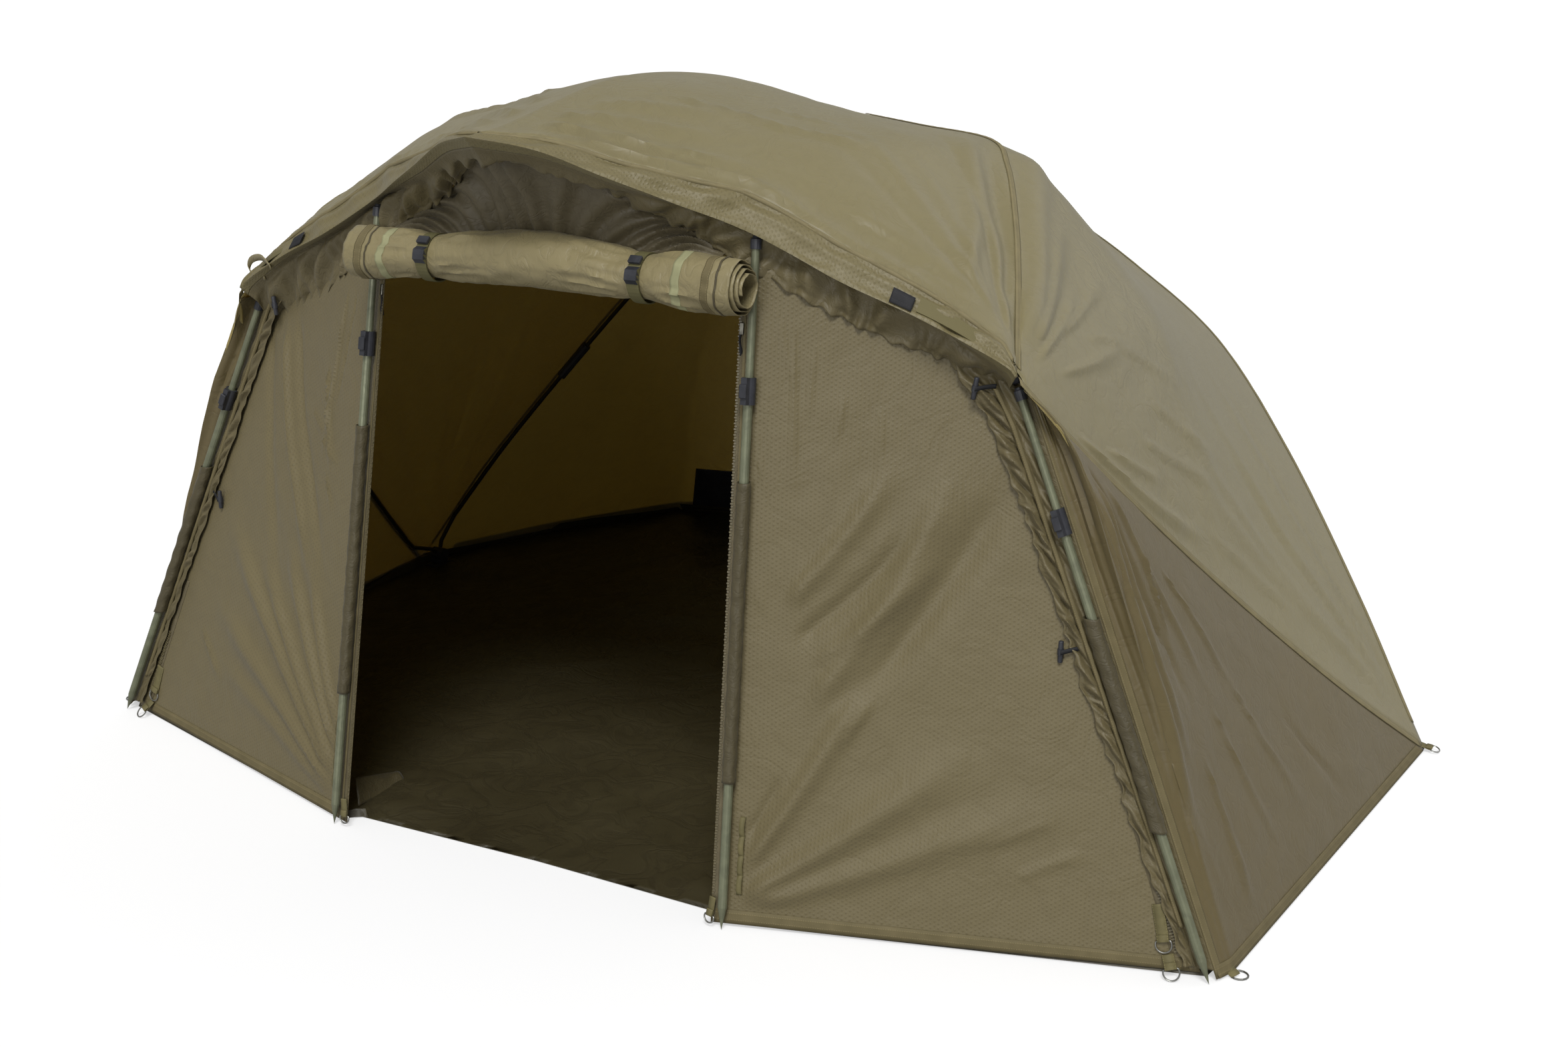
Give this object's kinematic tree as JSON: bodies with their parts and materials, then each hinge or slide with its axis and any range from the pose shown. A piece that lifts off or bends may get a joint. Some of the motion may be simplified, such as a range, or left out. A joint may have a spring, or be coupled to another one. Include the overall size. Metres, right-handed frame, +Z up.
{
  "type": "fishing brolly shelter",
  "caption": "Free-standing domed fishing shelter with a peaked brim, zipped front panels, rolled door, telescopic poles and groundsheet.",
  "frame": {"origin": "underside of the groundsheet at ground level, on the middle plane, 0.60 m in front of the line through the two ground hubs", "axes": "+Z up, front opening towards -Y, +X to the right as seen from the front; the frame is mirrored about X = 0"},
  "size_m": [2.9384, 2.5635, 1.5388],
  "materials": {
    "olive_cloth": "matte coated polyester",
    "front_cloth": "matte coated polyester",
    "valance_cloth": "matte coated polyester",
    "groundsheet_cloth": "dull coated sheet",
    "black_plastic": "moulded black",
    "black_tube": "black coat",
    "grey_green_alloy": "grey-green anodised",
    "ring_steel": "plated",
    "webbing": "woven webbing"
  },
  "bodies": {
    "ground": {"groundsheet": "groundsheet_cloth", "hub_left": "black_plastic", "hub_right": "black_plastic", "rear_panel": "olive_cloth", "side_panel_left": "olive_cloth", "side_panel_right": "olive_cloth", "front_panel_left": "front_cloth", "front_panel_right": "front_cloth", "edge_valance_left": "valance_cloth", "edge_valance_right": "valance_cloth", "peg_ring_left": "ring_steel", "peg_ring_right": "ring_steel"},
    "canopy": {"roof_canopy": "olive_cloth", "brim": "valance_cloth", "transom": "front_cloth", "door_roll": "front_cloth", "crown_block": "black_plastic", "peak_joint": "black_plastic", "peak_rib": "black_tube", "strap_left": "webbing", "strap_right": "webbing", "rod_strap_left": "webbing", "rod_strap_right": "webbing", "front_arm_left": "black_tube", "front_arm_right": "black_tube", "rear_arm_left": "black_tube", "rear_arm_right": "black_tube", "elbow_left": "black_plastic", "elbow_right": "black_plastic", "side_rib_left": "black_tube", "side_rib_right": "black_tube", "corner_block_left": "black_plastic", "corner_block_right": "black_plastic", "brim_rib_left": "black_tube", "brim_rib_right": "black_tube"},
    "pole_centre_left": {"lower_tube_centre_left": "grey_green_alloy", "clamp_centre_left": "black_plastic"},
    "pole_top_centre_left": {"upper_tube_centre_left": "grey_green_alloy", "pole_head_centre_left": "black_plastic"},
    "lever_centre_left": {"lever_centre_left": "black_plastic"},
    "pole_centre_right": {"lower_tube_centre_right": "grey_green_alloy", "clamp_centre_right": "black_plastic"},
    "pole_top_centre_right": {"upper_tube_centre_right": "grey_green_alloy", "pole_head_centre_right": "black_plastic"},
    "lever_centre_right": {"lever_centre_right": "black_plastic"},
    "pole_side_left": {"lower_tube_side_left": "grey_green_alloy", "clamp_side_left": "black_plastic"},
    "pole_top_side_left": {"upper_tube_side_left": "grey_green_alloy", "pole_head_side_left": "black_plastic"},
    "lever_side_left": {"lever_side_left": "black_plastic"},
    "pole_side_right": {"lower_tube_side_right": "grey_green_alloy", "clamp_side_right": "black_plastic"},
    "pole_top_side_right": {"upper_tube_side_right": "grey_green_alloy", "pole_head_side_right": "black_plastic"},
    "lever_side_right": {"lever_side_right": "black_plastic"},
    "latch_left": {"latch_left": "black_plastic"},
    "latch_right": {"latch_right": "black_plastic"},
    "door_zip_left": {"door_zip_left": "ring_steel"},
    "door_zip_right": {"door_zip_right": "ring_steel"}
  },
  "joints": [
    {"name": "canopy_lower", "type": "hinge", "parent": "ground", "child": "canopy", "pos_m": [0, 0.6, 0.035], "axis": [1, 0, 0], "range_deg": [0, 4.5], "deforming": ["rear_panel", "side_panel_left", "side_panel_right", "front_panel_left", "front_panel_right", "edge_valance_left", "edge_valance_right"]},
    {"name": "pole_lean_centre_left", "type": "hinge", "parent": "ground", "child": "pole_centre_left", "pos_m": [-0.477, -0.917, 0], "axis": [0.9985, 0.0414, -0.037], "range_deg": [0, 3.66]},
    {"name": "pole_slide_centre_left", "type": "slide", "parent": "pole_centre_left", "child": "pole_top_centre_left", "axis": [-0.0297, -0.1646, -0.9859], "range_m": [0, 0.1177]},
    {"name": "clamp_lever_centre_left", "type": "hinge", "parent": "pole_centre_left", "child": "lever_centre_left", "pos_m": [-0.44612, -0.76819, 1.02452], "axis": [-0.9995, 0, 0.0301], "range_deg": [0, 75]},
    {"name": "pole_lean_centre_right", "type": "hinge", "parent": "ground", "child": "pole_centre_right", "pos_m": [0.477, -0.917, 0], "axis": [0.9985, -0.0414, 0.037], "range_deg": [0, 3.66]},
    {"name": "pole_slide_centre_right", "type": "slide", "parent": "pole_centre_right", "child": "pole_top_centre_right", "axis": [0.0297, -0.1646, -0.9859], "range_m": [0, 0.1177]},
    {"name": "clamp_lever_centre_right", "type": "hinge", "parent": "pole_centre_right", "child": "lever_centre_right", "pos_m": [0.44612, -0.76819, 1.02452], "axis": [-0.9995, 0, -0.0301], "range_deg": [0, 75]},
    {"name": "pole_lean_side_left", "type": "hinge", "parent": "ground", "child": "pole_side_left", "pos_m": [-1.35, -0.667, 0], "axis": [0.7865, 0.4813, -0.387], "range_deg": [0, 4.23]},
    {"name": "pole_slide_side_left", "type": "slide", "parent": "pole_side_left", "child": "pole_top_side_left", "axis": [-0.397, -0.086, -0.9138], "range_m": [0, 0.0903]},
    {"name": "clamp_lever_side_left", "type": "hinge", "parent": "pole_side_left", "child": "lever_side_left", "pos_m": [-0.99774, -0.61267, 0.81089], "axis": [-0.9172, 0, 0.3984], "range_deg": [0, 75]},
    {"name": "pole_lean_side_right", "type": "hinge", "parent": "ground", "child": "pole_side_right", "pos_m": [1.35, -0.667, 0], "axis": [0.7865, -0.4813, 0.387], "range_deg": [0, 4.23]},
    {"name": "pole_slide_side_right", "type": "slide", "parent": "pole_side_right", "child": "pole_top_side_right", "axis": [0.397, -0.086, -0.9138], "range_m": [0, 0.0903]},
    {"name": "clamp_lever_side_right", "type": "hinge", "parent": "pole_side_right", "child": "lever_side_right", "pos_m": [0.99774, -0.61267, 0.81089], "axis": [-0.9172, 0, -0.3984], "range_deg": [0, 75]},
    {"name": "buckle_release_left", "type": "slide", "parent": "canopy", "child": "latch_left", "axis": [0, 0.7444, 0.6677], "range_m": [0, 0.025]},
    {"name": "buckle_release_right", "type": "slide", "parent": "canopy", "child": "latch_right", "axis": [0, 0.7444, 0.6677], "range_m": [0, 0.025]},
    {"name": "zip_slide_left", "type": "slide", "parent": "ground", "child": "door_zip_left", "axis": [-0.0297, -0.1646, -0.9859], "range_m": [0, 1]},
    {"name": "zip_slide_right", "type": "slide", "parent": "ground", "child": "door_zip_right", "axis": [0.0297, -0.1646, -0.9859], "range_m": [0, 1]}
  ],
  "couplings": [
    {"joint": "pole_lean_centre_left", "follows": "canopy_lower", "ratio": 0.81163},
    {"joint": "pole_slide_centre_left", "follows": "canopy_lower", "m_per_rad": 1.4978},
    {"joint": "pole_lean_centre_right", "follows": "canopy_lower", "ratio": 0.81163},
    {"joint": "pole_slide_centre_right", "follows": "canopy_lower", "m_per_rad": 1.4978},
    {"joint": "pole_lean_side_left", "follows": "canopy_lower", "ratio": 0.93885},
    {"joint": "pole_slide_side_left", "follows": "canopy_lower", "m_per_rad": 1.1494},
    {"joint": "pole_lean_side_right", "follows": "canopy_lower", "ratio": 0.93885},
    {"joint": "pole_slide_side_right", "follows": "canopy_lower", "m_per_rad": 1.1494}
  ]
}
